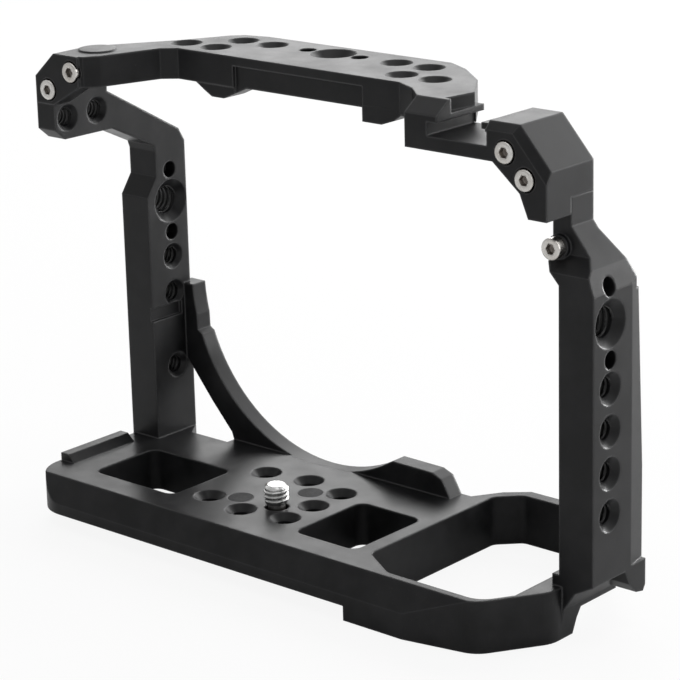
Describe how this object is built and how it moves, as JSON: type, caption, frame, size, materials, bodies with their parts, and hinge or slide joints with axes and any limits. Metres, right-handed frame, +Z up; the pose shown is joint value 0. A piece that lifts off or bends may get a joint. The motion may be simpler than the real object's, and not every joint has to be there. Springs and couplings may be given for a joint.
{
  "type": "camera cage",
  "caption": "Open machined aluminium frame that surrounds a mirrorless camera, with a curved lens support, threaded accessory holes, a shoe and a captive camera screw.",
  "frame": {"origin": "middle of the footprint, level with the lowest face under the grip side", "axes": "+X towards the grip side, +Y towards the lens side, +Z up"},
  "size_m": [0.1794, 0.0738, 0.1344],
  "materials": {
    "anodised_frame": "satin black anodised",
    "anodised_plate": "satin black anodised",
    "stainless_steel": "bright",
    "bright_steel": "polished",
    "spring_steel": "dark",
    "insert_steel": "dull"
  },
  "bodies": {
    "cage": {"main_frame": "anodised_frame", "top_plate": "anodised_plate", "retaining_ring": "spring_steel", "insert_left": "insert_steel", "insert_right": "insert_steel", "joining_screw_left_outer": "stainless_steel", "joining_screw_left_inner": "stainless_steel", "joining_screw_right_upper": "stainless_steel", "joining_screw_right_lower": "stainless_steel"},
    "camera_screw": {"camera_screw": "bright_steel"},
    "rear_side_screw": {"rear_side_screw": "stainless_steel"}
  },
  "joints": [
    {"name": "camera_screw_turn", "type": "hinge", "parent": "cage", "child": "camera_screw", "pos_m": [-0.01425, -0.01395, 0.01], "axis": [0, 0, 1], "continuous": true},
    {"name": "rear_side_screw_turn", "type": "hinge", "parent": "cage", "child": "rear_side_screw", "pos_m": [0.07715, -0.00895, 0.1008], "axis": [0, 1, 0], "continuous": true}
  ]
}
